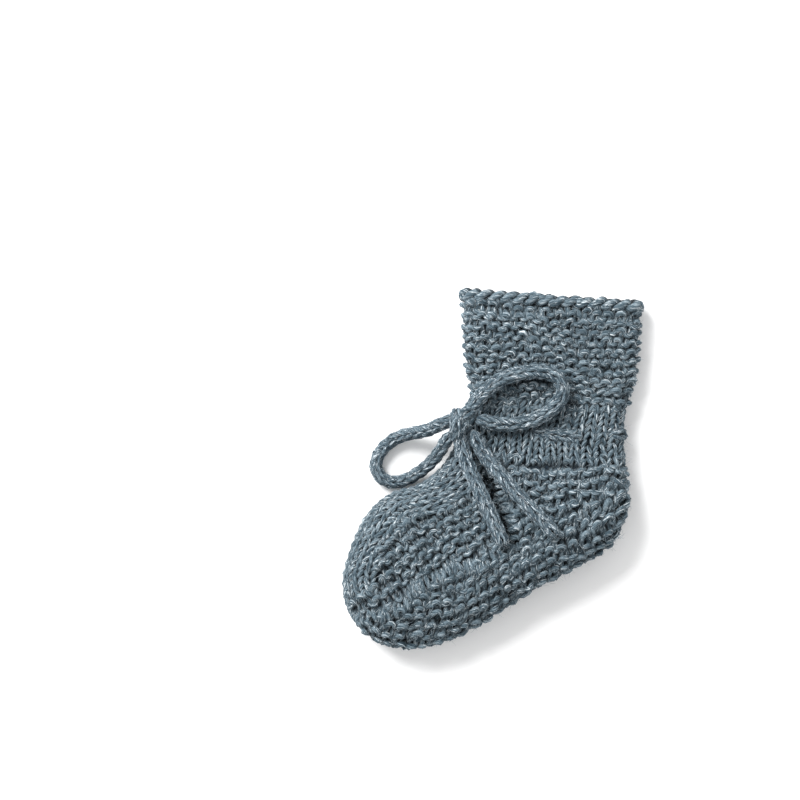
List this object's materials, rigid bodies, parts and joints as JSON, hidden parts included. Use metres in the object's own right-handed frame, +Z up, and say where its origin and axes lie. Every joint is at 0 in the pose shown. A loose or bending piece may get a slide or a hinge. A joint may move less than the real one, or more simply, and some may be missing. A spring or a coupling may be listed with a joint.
{
  "type": "baby bootie",
  "caption": "Hand-knit baby bootie lying on its side, with a garter cuff, a smooth ankle band, a garter foot and a knitted lace tied in a bow.",
  "frame": {"origin": "middle of the bootie's box without its free lace, on the table it lies on", "axes": "+Z up from the table, through the flattened bootie from one side to the other; +Y from the sole towards the mouth of the cuff; the toe points towards -X and -Y"},
  "size_m": [0.1062, 0.1271, 0.0283],
  "materials": {
    "garter_knit": "heathered slate blue hand-knitting yarn in garter stitch",
    "stocking_knit": "the same yarn in smooth stocking stitch",
    "lace_cord": "the same yarn knitted into a round cord",
    "seam_yarn": "the same yarn, sewn over and over"
  },
  "bodies": {
    "foot": {"ankle_band": "stocking_knit", "instep_flap": "garter_knit", "heel": "garter_knit", "upper_side_wall": "garter_knit", "lower_side_wall": "garter_knit", "sole": "garter_knit", "back_seam_heel": "seam_yarn", "sole_seam": "seam_yarn", "lace_run": "lace_cord", "bow_knot": "lace_cord", "front_loop": "lace_cord", "side_loop": "lace_cord", "front_tail": "lace_cord", "side_tail": "lace_cord"},
    "shaft": {"cuff": "garter_knit", "cast_on_edging": "garter_knit", "back_seam_shaft": "seam_yarn"}
  },
  "joints": [
    {"name": "ankle_flex", "type": "hinge", "parent": "foot", "child": "shaft", "pos_m": [0.0182, 0.015, 0.00675], "axis": [0, 0, 1], "range_deg": [-20, 20]}
  ]
}
